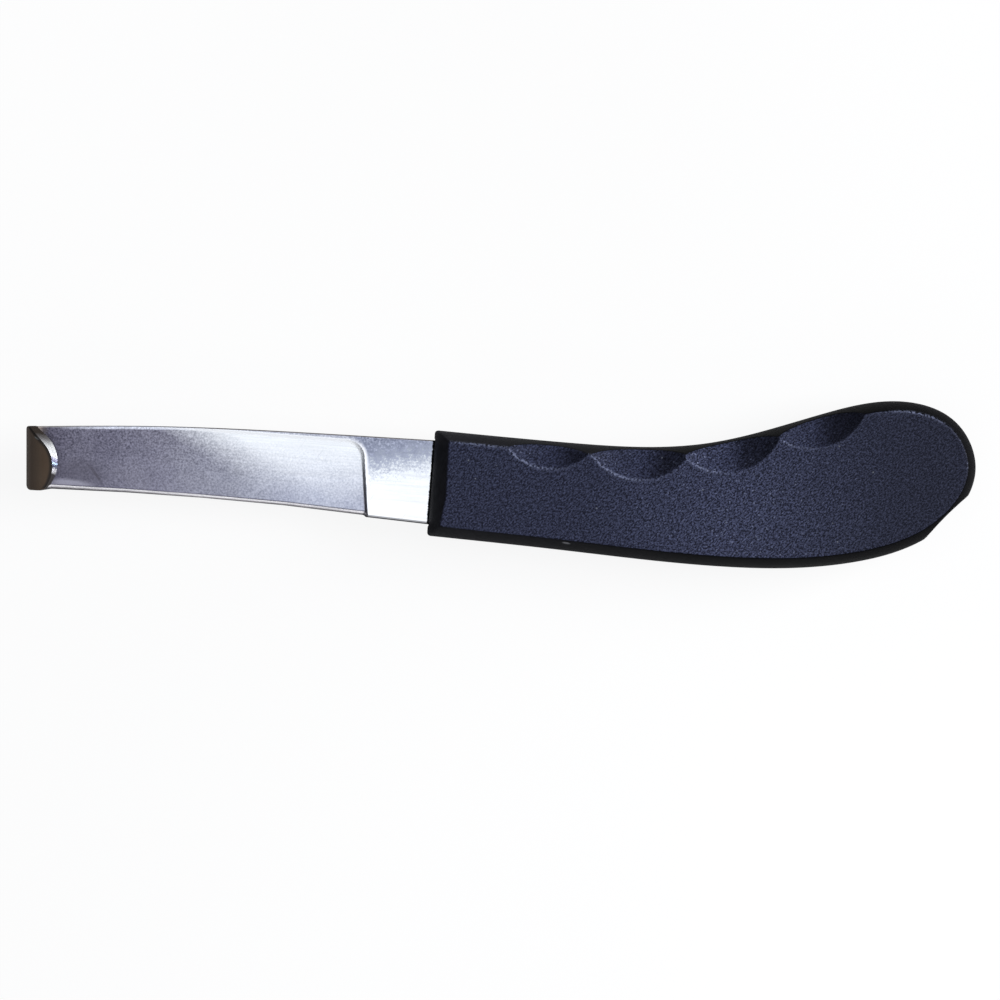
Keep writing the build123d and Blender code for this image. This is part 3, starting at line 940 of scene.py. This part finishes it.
def with_borders(p, metal, ground, x, y, grain):
    """The metal with its cutting bevel as a painted highlight, the dark lines beside it, its rims painted as
    light and shade, and a painted highlight along the spine.
    """
    above, below, rim = p.mark("above"), p.mark("below"), p.mark("rim")
    # The cutting bevel's near-white is a painted highlight
    bevel = p.times(ground, p.between(above, 0.75, 0.6))
    metal = p.blend(bevel, metal, (0.97, 0.95, 1.0))
    shoulder = p.times(p.between(above, 0.95, 0.8), p.between(above, 0.6, 0.7), ground, 0.6)
    metal = p.blend(shoulder, metal, (0.1, 0.1, 0.14))
    metal = p.blend(p.times(p.between(above, 0.35, 0.2), 0.7), metal, (0.1, 0.09, 0.09))
    # The rims' colour stands in for light and shade: dark on the edge side, grey on the spine side
    rim_tone = p.blend(p.between(y, 0, 0.001), (0.09, 0.09, 0.1), (0.5, 0.46, 0.45))
    metal = p.blend(p.times(rim, 0.8), metal, rim_tone)
    # A painted highlight along the spine near the hook
    along_spine = p.times(p.between(x, -0.143, -0.132), p.between(x, -0.108, -0.12))
    spine_line = p.times(p.between(below, 0.55, 0.35), along_spine, p.between(grain, 0, 1, 0.4, 0.9))
    return p.blend(spine_line, metal, (0.85, 0.88, 0.97))


def heat_brown(p, curl, cloud):
    """The hook's brown: uneven, painted lighter lower round the curl where it faces away from the light,
    with a streak, and dark at the lip's brink.
    """
    brown = p.blend(p.between(cloud, 0.3, 0.7), (0.05, 0.032, 0.019), (0.066, 0.044, 0.028))
    # Painted light lower round the curl, where it faces away from the light
    brown = p.blend(p.between(curl, 0.98, 0.8, 0, 0.6), brown, (0.125, 0.095, 0.073))
    brown = p.blend(p.between(curl, 0.74, 0.58), brown, (0.17, 0.14, 0.115))
    brown = p.blend(p.blot(*HOOK_STREAK), brown, (0.3, 0.31, 0.3))
    return p.blend(p.times(p.mark("brink"), 0.85), brown, (0.008, 0.007, 0.007))


def lip_steel():
    """The freshly ground lip, its tones painted reflections and highlights, from the edge side on: dull, a
    bright patch, dark with a blue glint, a longer bright stretch, and dull again."""
    p = Paint("lip_steel")
    lines = p.noise(1, 3, 0.6, p.stretched((300, 300, 5000)))
    uneven = p.plus(p.axis(1), p.times(p.noise(600, 2), 0.001))
    # The lip's tones along it are painted reflections and highlights
    tone = p.ramp(p.between(uneven, -0.007, 0.007), (0.0, (0.05, 0.04, 0.035)), (0.2, (0.09, 0.08, 0.085)),
                  (0.235, (1.0, 1.0, 1.0)), (0.275, (1.0, 1.0, 1.0)), (0.315, (0.07, 0.08, 0.12)),
                  (0.35, (0.12, 0.14, 0.2)), (0.37, (0.45, 0.6, 0.75)), (0.4, (0.12, 0.12, 0.18)),
                  (0.45, (0.28, 0.28, 0.37)), (0.5, (0.97, 0.98, 1.0)), (0.65, (0.95, 0.97, 0.98)),
                  (0.73, (0.35, 0.34, 0.35)), (0.84, (0.07, 0.055, 0.045)))
    p.set(Base_Color=tone, Metallic=0.8, Roughness=p.between(lines, 0.3, 0.7, 0.2, 0.35))
    p.bump(lines, 0.00001, 0.4)
    return p.material


def pin_steel():
    """Turned steel with fine rings round the pin."""
    p = Paint("pin_steel")
    rings = p.noise(30, 3, 0.6, p.stretched((40, 40, 900)))
    p.set(Base_Color=p.blend(rings, (0.42, 0.42, 0.43), (0.6, 0.6, 0.61)), Metallic=1.0)
    p.set(Roughness=p.between(rings, 0.3, 0.7, 0.25, 0.4))
    p.bump(rings, 0.00001, 0.4)
    return p.material


def floor():
    """A plain pale floor, nearly white to the camera, that throws little light back up at the knife."""
    shell = Shell()
    corners = FLOOR_REACH * np.array([(-1, -1), (1, -1), (1, 1), (-1, 1)])
    shell.fill(shell.ring(np.column_stack([corners, np.full(4, -HALF - FLOOR_GAP)])))
    p = Paint("floor_white")
    seen = p.nodes.new("ShaderNodeLightPath").outputs["Is Camera Ray"]
    tone = p.between(p.noise(3, 2), 0.3, 0.7, 0.97, 1.0)
    p.set(Base_Color=p.blend(seen, (0.4, 0.4, 0.4), (1 - FLOOR_GLOW,) * 3), Roughness=0.9)
    p.set(Specular_IOR_Level=0.0, Emission_Color=(1, 1, 1, 1))
    p.set(Emission_Strength=p.times(seen, tone, FLOOR_GLOW))
    shell.piece("floor", p.material)


def studio():
    """A dim soft sky with a bright opening overhead, and two softboxes."""
    world = bpy.data.worlds.new("studio")
    bpy.context.scene.world = world
    world.use_nodes = True
    nodes, links = world.node_tree.nodes, world.node_tree.links
    direction = nodes.new("ShaderNodeTexCoord").outputs["Generated"]
    height = nodes.new("ShaderNodeSeparateXYZ")
    links.new(direction, height.inputs["Vector"])
    sky = nodes.new("ShaderNodeMapRange")
    sky.interpolation_type = "SMOOTHSTEP"
    links.new(height.outputs["Z"], sky.inputs["Value"])
    for socket, value in zip(sky.inputs[1:5], (*SKY_OPENING, *SKY_STRENGTH)):
        socket.default_value = value
    background = nodes["Background"]
    background.inputs["Color"].default_value = SKY_TINT
    links.new(sky.outputs["Result"], background.inputs["Strength"])

    for name, (place, (width, height), watts) in SOFTBOXES.items():
        data = bpy.data.lights.new(name, "AREA")
        data.shape = "RECTANGLE"
        data.size, data.size_y = width, height
        data.energy = watts
        light = bpy.data.objects.new(name, data)
        bpy.context.scene.collection.objects.link(light)
        light.location = place
        light.rotation_euler = (-light.location).to_track_quat("-Z", "Y").to_euler()


def camera():
    """Straight down on the knife, rolled a little so the handle's axis falls across the picture."""
    data = bpy.data.cameras.new("camera")
    data.sensor_width = CAMERA_SENSOR
    data.lens = CAMERA_LENS
    data.clip_start, data.clip_end = CAMERA_RANGE
    obj = bpy.data.objects.new("camera", data)
    bpy.context.scene.collection.objects.link(obj)
    obj.location = in_row_frame(CAMERA_PLACE)
    obj.rotation_euler = (0, 0, HOOK_SKEW)
    bpy.context.scene.camera = obj


def main():
    black, bright, turned = plastic(), steel(), pin_steel()
    pieces = [(blade(bright, lip_steel()), "blade", "blade_steel"),
              (handle_half("handle_shell_hook_side", 1, black), "handle_half_hook_side", "handle_plastic"),
              (handle_half("handle_shell_rest_side", -1, black), "handle_half_rest_side", "handle_plastic")]
    for piece, node, slot in pieces:
        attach(piece, "root")
        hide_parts(node)
    for name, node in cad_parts.items():
        if name.startswith("tang_pin"):
            node.data.materials.clear()
            node.data.materials.append(turned)
    floor()
    studio()
    camera()
    bpy.context.scene.view_settings.view_transform = "Standard"


main()
